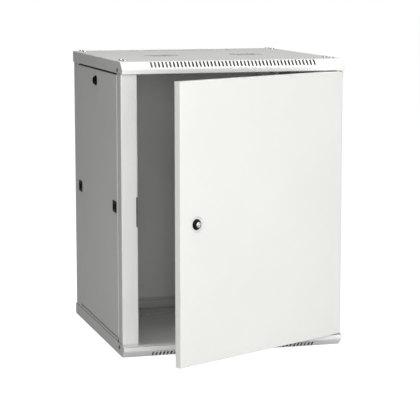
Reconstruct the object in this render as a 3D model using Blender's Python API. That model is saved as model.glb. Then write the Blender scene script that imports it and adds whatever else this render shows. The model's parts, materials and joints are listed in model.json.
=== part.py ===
"""Wall-mounted 19-inch network cabinet, fifteen rack units high, door ajar.

World frame, in metres: the origin is the centre of the base cover's underside,
+X points to the right seen from the front, +Y to the wall behind, +Z up.
Folded sheet parts are prisms of their bent cross-section; openings are cut with
EXACT Booleans. Parts that touch keep a gap of a few tenths of a millimetre.
"""

import math

import bmesh
import bpy
from mathutils import Matrix, Vector

# Whole cabinet
WIDTH = 0.600
DEPTH = 0.625
HEIGHT = 0.770
RACK_UNITS = 15
DOOR_OPEN_DEG = 28.4
FRONT = -DEPTH / 2
REAR = DEPTH / 2

# Sheet metal
SHEET = 0.0015
TOUCH = 0.0003
BEND = 0.0012
RAIL_BEND = 0.0008
CUT_MARGIN = 0.004
FUSE_MARGIN = 0.0008

# Covers: v runs from a cover's mouth to the outer face of its plate
COVER_HEIGHT = 0.031
MOUTH_TOP = HEIGHT - COVER_HEIGHT
FASCIA_SETBACK = 0.021
FASCIA_BAND = 0.0125
MOUTH_RADIUS = 0.0018
BAND_RADIUS = 0.0090
BROW_RADIUS = 0.0060
REAR_RADIUS = 0.0022
LIP_DEPTH = 0.025
SLOT_COUNT = 45
SLOT_PITCH = 0.010
SLOT_WIDTH = 0.0045
SLOT_LENGTH = 0.0210
SLOT_CENTRE_V = 0.0227

# Corner posts
BODY_HALF = 0.2976
POST_FRONT = FRONT + 0.027
POST_REAR = REAR - 2 * SHEET - 2 * TOUCH
POST_LOW = SHEET + TOUCH
POST_HIGH = HEIGHT - SHEET - TOUCH
POST_FACE = 0.0436
POST_RETURN = 0.016
LANDING_INSET = 0.015
LANDING = 0.014
NOTCH_HEIGHT = 0.078
NOTCH_CENTRE_Z = 0.381
NOTCH_DEPTH = 0.0045
SCREW_INSET = 0.020
SCREW_PITCH = 0.050
FOOT_LENGTH = 2 * SCREW_INSET + SCREW_PITCH
FOOT_WIDTH = 0.035
FOOT_SHEET = 0.002

# Side panels
PANEL_FRONT = FRONT + 0.071
PANEL_REAR = REAR - 0.055
PANEL_LOW = COVER_HEIGHT + 0.0100
PANEL_HIGH = MOUTH_TOP - 0.0045
PANEL_GAP = 0.0007
PANEL_PROUD = 0.0008
PANEL_FACE = BODY_HALF + PANEL_PROUD
PANEL_FLANGE = 0.0128
PANEL_EDGE_RADIUS = 0.0024

# One lock type serves the door and both side panels
LOCK_HOLE_R = 0.0097
LOCK_BASE_R = 0.0138
LOCK_NOSE_R = 0.0085
LOCK_RIM = 0.0018
LOCK_CHAMFER = 0.0006
LOCK_BARREL_R = 0.0092
LOCK_BORE_R = 0.0074
LOCK_ROTOR_R = 0.0071
ROTOR_CHAMFER = 0.0006
LOCK_RISE = 0.0080
ROTOR_PROUD = 0.0004
LOCK_NUT_R = 0.0125
LOCK_NUT_THICK = 0.0035
KEY_SLOT_WIDTH = 0.0014
KEY_SLOT_HEIGHT = 0.0086
KEY_SLOT_DEPTH = 0.0040
CAM_THICK = 0.0020
CAM_WIDTH = 0.014
CAM_GAP = 0.0010
SIDE_CAM_REACH = 0.030
SIDE_LOCK_Y = (PANEL_FRONT + PANEL_REAR) / 2
SIDE_LOCK_Z = 0.7045

# Slide latches of the side panels: faces are (along Y, along Z)
LATCH_Z = 0.388
LATCH_INSET = 0.030
LATCH_FACE = (0.040, 0.030)
LATCH_PROUD = 0.0020
LATCH_BODY = (0.034, 0.024)
LATCH_BODY_DEPTH = 0.012
LATCH_WINDOW = (0.027, 0.017)
LATCH_BUTTON = (0.018, 0.0162)
LATCH_BUTTON_PROUD = 0.0030
LATCH_KEEPER = (0.018, 0.0200)
LATCH_KEEPER_THICK = 0.0022
LATCH_TONGUE_HEIGHT = 0.011
LATCH_TONGUE_THICK = 0.0020
LATCH_OVERLAP = 0.0075

# Frame rails, depth rails and 19-inch rack rails
FRAME_RAIL_FACE = BODY_HALF - 0.0156
FRAME_RAIL_HEIGHT = 0.042
FRAME_RAIL_DROP = 0.011
FRAME_RAIL_FLANGE = 0.018
FRAME_RAIL_LIP = 0.018
SILL_GAP = 0.0020
DEPTH_RAIL_FACE = BODY_HALF - 0.0336
DEPTH_RAIL_FLANGE = 0.0155
DEPTH_RAIL_HEIGHT = 0.040
DEPTH_RAIL_TAB = 0.0306
DEPTH_RAIL_CENTRES = (0.110, 0.660)
DEPTH_SLOT_COUNT = 7
DEPTH_SLOT_LENGTH = 0.050
DEPTH_SLOT_WIDTH = 0.0085
UNIT = 0.04445
HOLE_OFFSETS = (0.00635, 0.022225, 0.0381)
HOLE_SIZE = 0.0095
HOLE_LINE = 0.23255
RACK_INNER = 0.2250
RACK_WEB = 0.2450
RACK_DEPTH = 0.040
RACK_LEG = 0.026
RACK_END = 0.005
RACK_FRONT_Y = FRONT + 0.155
RACK_REAR_Y = REAR - 0.120

# Door, measured from its hinge axis when it is closed
DOOR_WIDTH = 0.592
DOOR_THICK = 0.019
DOOR_GAP = 0.002
DOOR_SETBACK = 0.002
DOOR_LOW = COVER_HEIGHT + DOOR_GAP
DOOR_HIGH = MOUTH_TOP - DOOR_GAP
DOOR_FACE = -DOOR_THICK / 2
DOOR_BACK = DOOR_THICK / 2
DOOR_LIP = 0.014
DOOR_EDGE_RADIUS = 0.0018
HINGE_EDGE = 0.008
FREE_EDGE = HINGE_EDGE - DOOR_WIDTH
HINGE_X = DOOR_WIDTH / 2 - HINGE_EDGE
HINGE_Y = FRONT + DOOR_SETBACK + DOOR_THICK / 2
DOOR_LOCK_X = FREE_EDGE + 0.057
DOOR_LOCK_Z = 0.385
DOOR_CAM_REACH = 0.036
DISH_R = 0.0205
DISH_DEPTH = 0.0025
DISH_SLOPE = 0.0013
STIFFENER_WIDTH = 0.060
STIFFENER_FOOT = 0.016
STIFFENER_CROWN = DOOR_BACK - 0.0030
STIFFENER_END = 0.020

# Hinge pins
PIN_R = 0.003
PIN_CHAMFER = 0.0008
PIN_FIT = 0.0002
PIN_ENGAGED = 0.0085
PIN_TRAVEL = 0.010
SPRING_SHUT = 0.013
COLLAR_R = 0.0048
COLLAR_THICK = 0.003
KNOB_R = 0.0052
KNOB_HEIGHT = 0.008
GUIDE_ARM = 0.006
GUIDE_SPINE = 0.004
GUIDE_REACH = 0.015
GUIDE_HEIGHT = 2 * GUIDE_ARM + COLLAR_THICK + PIN_TRAVEL + SPRING_SHUT
SOCKET_HALF = 0.006
SOCKET_HEIGHT = 0.022
SOCKET_BORE = 0.016
BUSH_R = 0.0048
BUSH_RIM_R = 0.0068
BUSH_RIM = 0.0010
BUSH_HEIGHT = 0.0060
WASHER_R = 0.0062
WASHER_THICK = 0.0013
PIN_STEM = 0.0080

# Plates, grilles, rear panel, screws and earth stud
CABLE_OPENING = (0.300, 0.058)
CABLE_PLATE = (0.320, 0.078)
CABLE_CORNER = 0.006
CABLE_Y = REAR - 0.0555
FAN_X = 0.120
FAN_Y = -0.010
FAN_R = 0.052
FAN_SLOTS = 7
FAN_SLOT_WIDTH = 0.007
FAN_SLOT_PITCH = 0.0135
FAN_BOLT_HALF = 0.04125
FAN_BOLT_R = 0.0022
REAR_PANEL_CLEAR = 0.0008
REAR_RETURN = 0.0150
REAR_RETURN_HALF = 0.2510
KEYHOLE_X = 0.215
KEYHOLE_ZS = (0.100, 0.650)
KEYHOLE_R = 0.009
KEYHOLE_SLOT_R = 0.005
KEYHOLE_RISE = 0.022
SCREW_X = 0.280
FRONT_SCREW_YS = (POST_FRONT + SCREW_INSET, POST_FRONT + SCREW_INSET + SCREW_PITCH)
REAR_SCREW_YS = (POST_REAR - SCREW_INSET - SCREW_PITCH, POST_REAR - SCREW_INSET)
SCREW_HEAD_R = 0.0062
SCREW_HEAD = 0.0032
SCREW_R = 0.0029
SCREW_HOLE_R = 0.0034
SCREW_LENGTH = 0.010
STUD_X = -0.200
STUD_Y = 0.170
STUD_PROFILE = ((0.0, 0.018), (0.0026, 0.018), (0.0030, 0.017), (0.0030, 0.0062), (0.0055, 0.0062),
                (0.0055, 0.0014), (0.0075, 0.0014), (0.0075, 0.0), (0.0, 0.0))

# Facets
ARC_STEPS = 3
ROUND_PROFILE = 0.5
FASCIA_STEPS = 5
SLOT_STEPS = 3
HOLE_SIDES = 10
PIN_SIDES = 14
BORE_SIDES = 16
LOCK_SIDES = 24
DISH_SIDES = 40
SMOOTH_DEG = 35


# Scene and materials --------------------------------------------------------
def clear_scene():
    for item in list(bpy.data.objects):
        bpy.data.objects.remove(item)


def make_material(name, colour, roughness, metallic):
    material = bpy.data.materials.new(name)
    material.use_nodes = True
    shader = material.node_tree.nodes["Principled BSDF"]
    shader.inputs["Base Color"].default_value = (*colour, 1.0)
    shader.inputs["Roughness"].default_value = roughness
    shader.inputs["Metallic"].default_value = metallic
    return material


def make_materials():
    return {
        "grey_paint": make_material("grey_paint", (0.74, 0.75, 0.73), 0.45, 0.0),
        "door_paint": make_material("door_paint", (0.80, 0.81, 0.79), 0.40, 0.0),
        "zinc": make_material("zinc", (0.62, 0.63, 0.64), 0.35, 0.9),
        "chrome": make_material("chrome", (0.80, 0.80, 0.82), 0.12, 1.0),
        "black_plastic": make_material("black_plastic", (0.02, 0.02, 0.02), 0.45, 0.0),
        "brass": make_material("brass", (0.70, 0.52, 0.24), 0.30, 1.0),
    }


# Outlines -------------------------------------------------------------------
def corner_arc(before, corner, after, radius, steps):
    """Points of the fillet that rounds one corner of a polygon."""
    corner = Vector(corner)
    back = (Vector(before) - corner).normalized()
    ahead = (Vector(after) - corner).normalized()
    half_angle = back.angle(ahead) / 2
    if radius <= 0:
        return [tuple(corner)]
    reach = radius / math.tan(half_angle)
    start = corner + back * reach
    end = corner + ahead * reach
    centre = corner + (back + ahead).normalized() * (radius / math.sin(half_angle))
    first = start - centre
    sweep = first.angle_signed(end - centre)
    points = []
    for step in range(steps + 1):
        spoke = first.copy()
        spoke.rotate(Matrix.Rotation(-sweep * step / steps, 2))
        points.append(tuple(centre + spoke))
    return points


def rounded(points, radii, steps=ARC_STEPS):
    """A closed polygon with each corner rounded to its own radius."""
    outline = []
    for index, corner in enumerate(points):
        after = points[(index + 1) % len(points)]
        outline += corner_arc(points[index - 1], corner, after, radii[index], steps)
    return outline


def shifted_line(points, distance):
    """An open polyline moved to its left by a distance, with mitred corners."""
    moved = []
    for index, point in enumerate(points):
        here = Vector(point)
        normals = []
        if index > 0:
            run = (here - Vector(points[index - 1])).normalized()
            normals.append(Vector((-run.y, run.x)))
        if index < len(points) - 1:
            run = (Vector(points[index + 1]) - here).normalized()
            normals.append(Vector((-run.y, run.x)))
        mitre = sum(normals, Vector((0, 0))).normalized()
        moved.append(tuple(here + mitre * (distance / mitre.dot(normals[0]))))
    return moved


def folded(points, thickness, bend=BEND):
    """Cross-section of a folded sheet: one face follows the points, the other is
    offset to their left (to their right when the thickness is negative)."""
    near = [0.0] * len(points)
    far = [0.0] * len(points)
    for index in range(1, len(points) - 1):
        run_in = Vector(points[index]) - Vector(points[index - 1])
        run_out = Vector(points[index + 1]) - Vector(points[index])
        turns_left = run_in.cross(run_out) > 0
        towards_offset = turns_left == (thickness > 0)
        near[index] = bend + abs(thickness) if towards_offset else bend
        far[index] = bend if towards_offset else bend + abs(thickness)
    outline = list(points) + shifted_line(points, thickness)[::-1]
    return rounded(outline, near + far[::-1])


def circle(radius, sides, centre=(0.0, 0.0)):
    points = []
    for index in range(sides):
        angle = 2 * math.pi * index / sides
        points.append((centre[0] + radius * math.cos(angle), centre[1] + radius * math.sin(angle)))
    return points


def stadium(length, width, centre=(0.0, 0.0), steps=SLOT_STEPS):
    """A slot's outline, its long side along the first coordinate."""
    radius = width / 2
    reach = length / 2 - radius
    points = []
    for side in (1, -1):
        for step in range(steps + 1):
            angle = math.pi * (step / steps - 0.5)
            a = side * (reach + radius * math.cos(angle))
            points.append((centre[0] + a, centre[1] + side * radius * math.sin(angle)))
    return points


def rectangle(size, centre=(0.0, 0.0)):
    a, b = size[0] / 2, size[1] / 2
    x, y = centre
    return [(x - a, y - b), (x + a, y - b), (x + a, y + b), (x - a, y + b)]


def keyhole(x, z):
    """A round hole that a narrower slot leaves upwards."""
    meet = math.asin(KEYHOLE_SLOT_R / KEYHOLE_R)
    points = []
    for step in range(HOLE_SIDES + 1):
        angle = math.pi / 2 + meet + 2 * (math.pi - meet) * step / HOLE_SIDES
        points.append((x + KEYHOLE_R * math.cos(angle), z + KEYHOLE_R * math.sin(angle)))
    for step in range(ARC_STEPS + 1):
        angle = math.pi * step / ARC_STEPS
        a = KEYHOLE_SLOT_R * math.cos(angle)
        points.append((x + a, z + KEYHOLE_RISE + KEYHOLE_SLOT_R * math.sin(angle)))
    return points


# Solids ---------------------------------------------------------------------
def place_on(axis, a, b, along):
    """The point that lies at (a, b) across an axis and at a distance along it."""
    if axis == "X":
        return (along, a, b)
    if axis == "Y":
        return (a, along, b)
    return (a, b, along)


def add_prism(shape, outline, axis, start, end):
    """Adds to a bmesh the prism of an outline, extruded along a world axis."""
    low, high = sorted((start, end))
    bottom = [shape.verts.new(place_on(axis, a, b, low)) for a, b in outline]
    top = [shape.verts.new(place_on(axis, a, b, high)) for a, b in outline]
    join_rings(shape, bottom, top)


def join_rings(shape, bottom, top):
    """Closes two matching rings of vertices into a prism."""
    faces = [shape.faces.new(bottom[::-1]), shape.faces.new(top)]
    for index in range(len(bottom)):
        after = (index + 1) % len(bottom)
        faces.append(shape.faces.new((bottom[index], bottom[after], top[after], top[index])))
    bmesh.ops.recalc_face_normals(shape, faces=faces)


def add_box(shape, corner, opposite):
    x, y, z = zip(corner, opposite)
    outline = [(min(x), min(y)), (max(x), min(y)), (max(x), max(y)), (min(x), max(y))]
    add_prism(shape, outline, "Z", z[0], z[1])


def add_turned(shape, profile, sides):
    """Adds the solid turned from a closed (radius, height) profile about Z."""
    rings = []
    for radius, height in profile:
        points = circle(radius, sides) if radius > 0 else [(0.0, 0.0)]
        rings.append([shape.verts.new((x, y, height)) for x, y in points])
    bored = all(radius > 0 for radius, _ in profile)
    faces = []
    for index in range(len(rings) if bored else len(rings) - 1):
        ring = rings[index]
        following = rings[(index + 1) % len(rings)]
        for step in range(sides):
            after = step + 1
            corners = [ring[step % len(ring)], ring[after % len(ring)]]
            corners += [following[after % len(following)], following[step % len(following)]]
            corners = list(dict.fromkeys(corners))
            if len(corners) > 2:
                faces.append(shape.faces.new(corners))
    bmesh.ops.recalc_face_normals(shape, faces=faces)


def finish(name, shape, material, smooth=False):
    """Turns a bmesh into a named object of the scene."""
    mesh = bpy.data.meshes.new(name)
    shape.to_mesh(mesh)
    shape.free()
    if smooth:
        mesh.shade_smooth()
        mesh.set_sharp_from_angle(angle=math.radians(SMOOTH_DEG))
    item = bpy.data.objects.new(name, mesh)
    item.data.materials.append(material)
    bpy.context.scene.collection.objects.link(item)
    return item


def prism(name, outline, axis, start, end, material):
    shape = bmesh.new()
    add_prism(shape, outline, axis, start, end)
    return finish(name, shape, material)


def turned(name, profile, sides, material):
    shape = bmesh.new()
    add_turned(shape, profile, sides)
    return finish(name, shape, material, smooth=True)


def combine(target, tool_shape, operation):
    """Applies one EXACT Boolean with a temporary tool."""
    tool = finish("tool", tool_shape, target.data.materials[0])
    modifier = target.modifiers.new(operation.lower(), "BOOLEAN")
    modifier.operation = operation
    modifier.solver = "EXACT"
    modifier.object = tool
    bpy.context.view_layer.update()
    evaluated = target.evaluated_get(bpy.context.evaluated_depsgraph_get())
    mesh = bpy.data.meshes.new_from_object(evaluated)
    target.modifiers.clear()
    target.data = mesh
    mesh.name = target.name
    bpy.data.objects.remove(tool)


def cut(target, tool_shape):
    combine(target, tool_shape, "DIFFERENCE")


def fuse(target, tool_shape):
    combine(target, tool_shape, "UNION")


def round_rim(shape, on_rim, radius, segments=2):
    """Rounds every edge whose two ends satisfy a test of their position."""
    edges = [edge for edge in shape.edges if all(on_rim(vert.co) for vert in edge.verts)]
    bmesh.ops.bevel(
        shape, geom=edges, offset=radius, segments=segments, profile=ROUND_PROFILE, affect="EDGES"
    )


def mirrored(outline, side):
    """An outline drawn for the left side (-1), mirrored for the right side (+1)."""
    return [(-side * a, b) for a, b in outline]


def side_name(side):
    return "left" if side < 0 else "right"


def facing(outward):
    """Rotation that turns local +Z outward and keeps local +Y upright."""
    normal = Vector(outward)
    up = Vector((0, 0, 1))
    return Matrix((up.cross(normal), up, normal)).transposed().to_euler()


# Covers ---------------------------------------------------------------------
def cover_line():
    """Outer face of a cover from the side, as (y, v), fascia first."""
    brow = (FRONT + FASCIA_SETBACK, COVER_HEIGHT)
    return [(FRONT, 0.0), (FRONT, FASCIA_BAND), brow, (REAR, COVER_HEIGHT), (REAR, 0.0)]


def cover_outline():
    radii = [MOUTH_RADIUS, BAND_RADIUS, BROW_RADIUS, REAR_RADIUS, 0.0]
    return rounded(cover_line(), radii, FASCIA_STEPS)


def hollow_outline():
    """The room inside a cover, above the lip that closes the fascia's mouth."""
    inner = shifted_line(cover_line(), -SHEET)[1:4]
    lip = FRONT + LIP_DEPTH
    corners = [(lip, -CUT_MARGIN), (lip, SHEET), (FRONT + SHEET, SHEET), *inner, (REAR - SHEET, -CUT_MARGIN)]
    radii = [0.0, 0.0, 0.0, BAND_RADIUS - SHEET, BROW_RADIUS - SHEET, REAR_RADIUS - SHEET, 0.0]
    return rounded(corners, radii, FASCIA_STEPS)


def cover_height(v, top):
    return MOUTH_TOP + v if top else COVER_HEIGHT - v


def add_cover_prism(shape, outline, half_width, top):
    placed = [(y, cover_height(v, top)) for y, v in outline]
    add_prism(shape, placed, "X", -half_width, half_width)


def cut_vent_slots(cover, top):
    """The row of slots across the fascia's sloped face."""
    slope = Vector((FASCIA_SETBACK, COVER_HEIGHT - FASCIA_BAND)).normalized()
    normal = Vector((-slope.y, slope.x))
    centre = Vector((FRONT, FASCIA_BAND)) + slope * ((SLOT_CENTRE_V - FASCIA_BAND) / slope.y)
    shape = bmesh.new()
    for index in range(SLOT_COUNT):
        x = (index - (SLOT_COUNT - 1) / 2) * SLOT_PITCH
        rings = []
        for depth in (-CUT_MARGIN, CUT_MARGIN):
            ring = []
            for reach, across in stadium(SLOT_LENGTH, SLOT_WIDTH):
                point = centre + slope * reach + normal * depth
                ring.append(shape.verts.new((x + across, point.x, cover_height(point.y, top))))
            rings.append(ring)
        join_rings(shape, *rings)
    cut(cover, shape)


def add_fan_grille(shape, x, low, high):
    """Parallel slots inside a circle, and the fan's four screw holes."""
    for index in range(FAN_SLOTS):
        offset = (index - (FAN_SLOTS - 1) / 2) * FAN_SLOT_PITCH
        length = 2 * math.sqrt(FAN_R ** 2 - offset ** 2)
        slot = stadium(length, FAN_SLOT_WIDTH)
        add_prism(shape, [(x + offset + b, FAN_Y + a) for a, b in slot], "Z", low, high)
    for a, b in rectangle((2 * FAN_BOLT_HALF, 2 * FAN_BOLT_HALF)):
        hole = circle(FAN_BOLT_R, HOLE_SIDES, (x + a, FAN_Y + b))
        add_prism(shape, hole, "Z", low, high)


def cut_plate_holes(cover, top):
    """Cable entry and, on the top cover, screw holes and the two fan grilles."""
    low = cover_height(COVER_HEIGHT + CUT_MARGIN, top)
    high = cover_height(COVER_HEIGHT - CUT_MARGIN, top)
    shape = bmesh.new()
    entry = rounded(rectangle(CABLE_OPENING, (0.0, CABLE_Y)), [CABLE_CORNER] * 4)
    add_prism(shape, entry, "Z", low, high)
    if top:
        for side in (-1, 1):
            for y in FRONT_SCREW_YS + REAR_SCREW_YS:
                hole = circle(SCREW_HOLE_R, HOLE_SIDES, (side * SCREW_X, y))
                add_prism(shape, hole, "Z", low, high)
            add_fan_grille(shape, side * FAN_X, low, high)
    cut(cover, shape)


def cut_hinge_hole(cover, top):
    """The hole in the lip for the door's hinge bush or pin."""
    level = cover_height(0.0, top)
    radius = (BUSH_R if top else PIN_R) + TOUCH
    shape = bmesh.new()
    hole = circle(radius, BORE_SIDES, (HINGE_X, HINGE_Y))
    add_prism(shape, hole, "Z", level - CUT_MARGIN, level + CUT_MARGIN)
    cut(cover, shape)


def build_cover(name, top, material):
    """Tray with a folded fascia; the base and the top cover mirror each other."""
    shape = bmesh.new()
    add_cover_prism(shape, cover_outline(), WIDTH / 2, top)
    cover = finish(name, shape, material)
    hollow = bmesh.new()
    add_cover_prism(hollow, hollow_outline(), WIDTH / 2 - SHEET, top)
    cut(cover, hollow)
    cut_vent_slots(cover, top)
    cut_plate_holes(cover, top)
    cut_hinge_hole(cover, top)


def build_cable_plate(name, top, material):
    """Cover plate of a cable entry, on the inner side of its cover."""
    face = cover_height(COVER_HEIGHT - SHEET - TOUCH, top)
    back = cover_height(COVER_HEIGHT - 2 * SHEET - TOUCH, top)
    outline = rounded(rectangle(CABLE_PLATE, (0.0, CABLE_Y)), [CABLE_CORNER] * 4)
    prism(name, outline, "Z", face, back, material)


def build_cover_screw(name, x, y, material):
    """Pan-head screw through the top cover into a post's foot."""
    shoulder = SCREW_HEAD_R / 2
    profile = [(0.0, SCREW_HEAD), (shoulder, SCREW_HEAD * 0.85), (SCREW_HEAD_R, SCREW_HEAD * 0.25)]
    profile += [(SCREW_HEAD_R, 0.0), (SCREW_R, 0.0), (SCREW_R, -SCREW_LENGTH), (0.0, -SCREW_LENGTH)]
    screw = turned(name, profile, HOLE_SIDES, material)
    screw.location = (x, y, HEIGHT + TOUCH)


# Frame ----------------------------------------------------------------------
def post_line(front):
    """Outer face of a left post from above, from its inner return outwards."""
    face = POST_FRONT if front else POST_REAR
    inward = 1 if front else -1
    panel_edge = PANEL_FRONT if front else PANEL_REAR
    inner = POST_FACE - BODY_HALF
    landing = LANDING_INSET - BODY_HALF
    return [
        (inner, face + inward * POST_RETURN),
        (inner, face),
        (-BODY_HALF, face),
        (-BODY_HALF, panel_edge),
        (landing, panel_edge),
        (landing, panel_edge + inward * LANDING),
    ]


def add_post_feet(post, side, front):
    """Plates at both ends of a post, which the covers are screwed to."""
    start = POST_FRONT + FUSE_MARGIN if front else POST_REAR - FUSE_MARGIN
    end = start + FOOT_LENGTH if front else start - FOOT_LENGTH
    outer = side * (BODY_HALF - FUSE_MARGIN)
    inner = side * (BODY_HALF - FOOT_WIDTH)
    shape = bmesh.new()
    for level in (POST_LOW, POST_HIGH - FOOT_SHEET):
        add_box(shape, (outer, start, level), (inner, end, level + FOOT_SHEET))
    fuse(post, shape)


def cut_lock_notch(post, side):
    """Room for a door lock's nut and cam in the front post's inner edge."""
    inner = BODY_HALF - POST_FACE
    half = NOTCH_HEIGHT / 2
    low = (side * (inner + NOTCH_DEPTH), POST_FRONT - CUT_MARGIN, NOTCH_CENTRE_Z - half)
    high = (side * (inner - CUT_MARGIN), POST_FRONT + POST_RETURN + CUT_MARGIN, NOTCH_CENTRE_Z + half)
    shape = bmesh.new()
    add_box(shape, low, high)
    cut(post, shape)


def build_post(name, side, front, material):
    """Corner post: face, side strip, landing for the side panel, inner return."""
    thickness = -SHEET if front else SHEET
    outline = mirrored(folded(post_line(front), thickness), side)
    post = prism(name, outline, "Z", POST_LOW, POST_HIGH, material)
    add_post_feet(post, side, front)
    holes = bmesh.new()
    for y in FRONT_SCREW_YS if front else REAR_SCREW_YS:
        hole = circle(SCREW_HOLE_R, HOLE_SIDES, (side * SCREW_X, y))
        add_prism(holes, hole, "Z", POST_HIGH - CUT_MARGIN, POST_HIGH + CUT_MARGIN)
    cut(post, holes)
    if front:
        cut_lock_notch(post, side)


def build_frame_rail(name, side, line, material):
    """A rail between the posts, folded along a line drawn for the left side."""
    outline = mirrored(folded(line, -SHEET), side)
    prism(name, outline, "Y", PANEL_FRONT + LANDING + TOUCH, PANEL_REAR - LANDING - TOUCH, material)


def top_rail_line():
    """Angle that the side lock's cam hooks behind."""
    level = POST_HIGH - FRAME_RAIL_DROP
    lip = level - FRAME_RAIL_HEIGHT
    return [(-FRAME_RAIL_FACE, lip), (-FRAME_RAIL_FACE, level), (FRAME_RAIL_FLANGE - FRAME_RAIL_FACE, level)]


def base_rail_line():
    """Sill flush with the side panel, and an upright lip that the panel hooks over."""
    foot = POST_LOW + FRAME_RAIL_DROP
    sill = PANEL_LOW - SILL_GAP
    return [
        (-BODY_HALF, foot),
        (-BODY_HALF, sill),
        (-FRAME_RAIL_FACE, sill),
        (-FRAME_RAIL_FACE, sill + FRAME_RAIL_LIP),
    ]


def build_depth_rail(name, side, centre, material):
    """Slotted channel that carries the rack rails, with a tab at each end."""
    back = DEPTH_RAIL_FACE + DEPTH_RAIL_FLANGE
    low = centre - DEPTH_RAIL_HEIGHT / 2
    high = centre + DEPTH_RAIL_HEIGHT / 2
    line = [(-back, low), (-DEPTH_RAIL_FACE, low), (-DEPTH_RAIL_FACE, high), (-back, high)]
    start = POST_FRONT + SHEET + TOUCH
    end = POST_REAR - SHEET - TOUCH
    rail = prism(name, mirrored(folded(line, SHEET), side), "Y", start, end, material)
    tabs = bmesh.new()
    tab_inner = side * (DEPTH_RAIL_FACE + SHEET / 2)
    tab_outer = side * (DEPTH_RAIL_FACE + DEPTH_RAIL_TAB)
    for y in (start, end - SHEET):
        tab_low = (tab_inner, y, low + SHEET / 2)
        add_box(tabs, tab_low, (tab_outer, y + SHEET, high - SHEET / 2))
    fuse(rail, tabs)
    slots = bmesh.new()
    pitch = (end - start) / DEPTH_SLOT_COUNT
    for index in range(DEPTH_SLOT_COUNT):
        middle = start + pitch * (index + 0.5)
        slot = stadium(DEPTH_SLOT_LENGTH, DEPTH_SLOT_WIDTH, (middle, centre))
        inner = side * (DEPTH_RAIL_FACE - CUT_MARGIN)
        add_prism(slots, slot, "X", inner, side * (DEPTH_RAIL_FACE + CUT_MARGIN))
    cut(rail, slots)


def build_rack_rail(name, side, front, material):
    """Nineteen-inch rail: holed flange, web, and leg against the depth rails."""
    inward = 1 if front else -1
    leg = DEPTH_RAIL_FACE - TOUCH
    line = [
        (-RACK_INNER, 0.0),
        (-RACK_WEB, 0.0),
        (-RACK_WEB, inward * RACK_DEPTH),
        (-leg, inward * RACK_DEPTH),
        (-leg, inward * (RACK_DEPTH + RACK_LEG)),
    ]
    height = RACK_UNITS * UNIT
    base = (HEIGHT - height) / 2
    outline = mirrored(folded(line, -inward * SHEET, RAIL_BEND), side)
    rail = prism(name, outline, "Z", base - RACK_END, base + height + RACK_END, material)
    holes = bmesh.new()
    for unit in range(RACK_UNITS):
        for offset in HOLE_OFFSETS:
            hole = rectangle((HOLE_SIZE, HOLE_SIZE), (side * HOLE_LINE, base + unit * UNIT + offset))
            add_prism(holes, hole, "Y", -CUT_MARGIN, CUT_MARGIN)
    cut(rail, holes)
    rail.location = (0, RACK_FRONT_Y if front else RACK_REAR_Y, 0)


def build_rear_panel(material):
    """Back with a return along its base and its top, and four keyholes for the wall screws."""
    face = POST_REAR + TOUCH
    low = COVER_HEIGHT + REAR_PANEL_CLEAR
    high = MOUTH_TOP - REAR_PANEL_CLEAR
    sheet = rectangle((2 * (BODY_HALF - TOUCH), high - low), (0.0, (low + high) / 2))
    panel = prism("rear_panel", sheet, "Y", face, face + SHEET, material)
    returns = bmesh.new()
    for level in (low, high - SHEET):
        corner = (-REAR_RETURN_HALF, face - REAR_RETURN + SHEET, level)
        add_box(returns, corner, (REAR_RETURN_HALF, face + SHEET, level + SHEET))
    fuse(panel, returns)
    shape = bmesh.new()
    for x in (-KEYHOLE_X, KEYHOLE_X):
        for z in KEYHOLE_ZS:
            add_prism(shape, keyhole(x, z), "Y", face - CUT_MARGIN, face + CUT_MARGIN)
    cut(panel, shape)


# Locks: local +Z points outward from the sheet's face, local +Y is upright ----
def lock_housing(name, sink, material):
    """Tapered nose and threaded barrel, bored for the rotor."""
    profile = [
        (LOCK_BORE_R, LOCK_RISE),
        (LOCK_NOSE_R - LOCK_CHAMFER, LOCK_RISE),
        (LOCK_NOSE_R, LOCK_RISE - LOCK_CHAMFER),
        (LOCK_BASE_R, LOCK_RIM),
        (LOCK_BASE_R, TOUCH),
        (LOCK_BARREL_R, TOUCH),
        (LOCK_BARREL_R, -sink),
        (LOCK_BORE_R, -sink),
    ]
    return turned(name, profile, LOCK_SIDES, material)


def lock_rotor(name, sink, material):
    """The cylinder that the key turns, with its key slot upright."""
    face = LOCK_RISE + ROTOR_PROUD
    profile = [
        (0.0, face),
        (LOCK_ROTOR_R - ROTOR_CHAMFER, face),
        (LOCK_ROTOR_R, face - ROTOR_CHAMFER),
        (LOCK_ROTOR_R, -sink),
        (0.0, -sink),
    ]
    rotor = turned(name, profile, LOCK_SIDES, material)
    slot = bmesh.new()
    outline = rectangle((KEY_SLOT_WIDTH, KEY_SLOT_HEIGHT))
    add_prism(slot, outline, "Z", face - KEY_SLOT_DEPTH, face + CUT_MARGIN)
    cut(rotor, slot)
    return rotor


def lock_nut(name, depth, material):
    """Flat six-sided nut on the barrel, against the sheet's inner face."""
    nut = prism(name, circle(LOCK_NUT_R, 6), "Z", -depth, -depth - LOCK_NUT_THICK, material)
    bore = bmesh.new()
    bore_low = -depth - LOCK_NUT_THICK - CUT_MARGIN
    add_prism(bore, circle(LOCK_BARREL_R + TOUCH, LOCK_SIDES), "Z", bore_low, -depth + CUT_MARGIN)
    cut(nut, bore)
    return nut


def lock_cam(name, depth, reach, up, material):
    """Tongue behind a lock, pointing up or down, with a round hub end."""
    half = CAM_WIDTH / 2
    chamfer = half / 2
    outline = []
    for step in range(2 * ARC_STEPS + 1):
        angle = math.pi * (1 + step / (2 * ARC_STEPS))
        outline.append((half * math.cos(angle), half * math.sin(angle)))
    outline += [(half, reach - chamfer), (half - chamfer, reach)]
    outline += [(chamfer - half, reach), (-half, reach - chamfer)]
    placed = outline if up else [(-a, -b) for a, b in outline]
    return prism(name, placed, "Z", -depth, -depth - CAM_THICK, material)


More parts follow.
